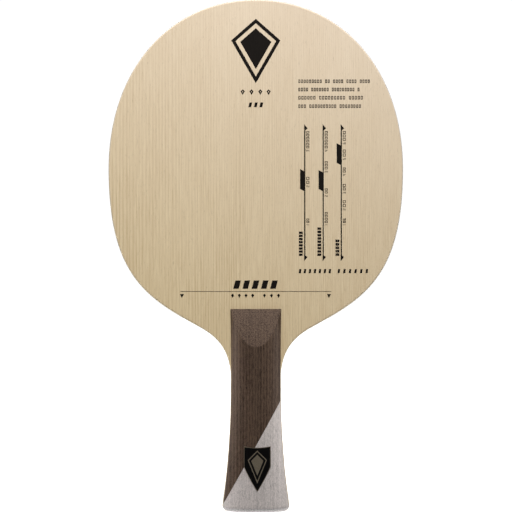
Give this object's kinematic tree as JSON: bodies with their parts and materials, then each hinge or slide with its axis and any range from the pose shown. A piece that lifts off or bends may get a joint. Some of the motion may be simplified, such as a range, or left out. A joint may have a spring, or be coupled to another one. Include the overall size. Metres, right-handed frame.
{
  "type": "table tennis blade",
  "caption": "Bare wooden table tennis blade with a rounded head and a flared two-tone handle carrying a small shield badge.",
  "frame": {"origin": "middle of the flat butt end of the handle", "axes": "+Z along the length from the butt to the crown of the head, -Y out of the front (printed) face, +X to the right seen from the front"},
  "size_m": [0.15, 0.0246, 0.2605],
  "materials": {
    "face_veneer": "sanded, thin matt seal",
    "fibre": "woven fibre set in resin",
    "inner_veneer": "raw",
    "core": "raw",
    "dark_wood": "satin oil",
    "light_wood": "dyed grey, satin oil",
    "badge_metal": "struck, satin",
    "badge_enamel": "gloss",
    "adhesive": "film"
  },
  "bodies": {
    "root": {"front_face_veneer": "face_veneer", "front_fibre_ply": "fibre", "front_inner_veneer": "inner_veneer", "core_ply": "core", "back_inner_veneer": "inner_veneer", "back_fibre_ply": "fibre", "back_face_veneer": "face_veneer", "front_scale_dark": "dark_wood", "front_scale_light": "light_wood", "back_scale_dark": "dark_wood", "back_scale_light": "light_wood", "badge_plate": "badge_metal", "badge_enamel_field": "badge_enamel", "badge_enamel_ring": "badge_enamel", "badge_adhesive": "adhesive"}
  },
  "joints": []
}
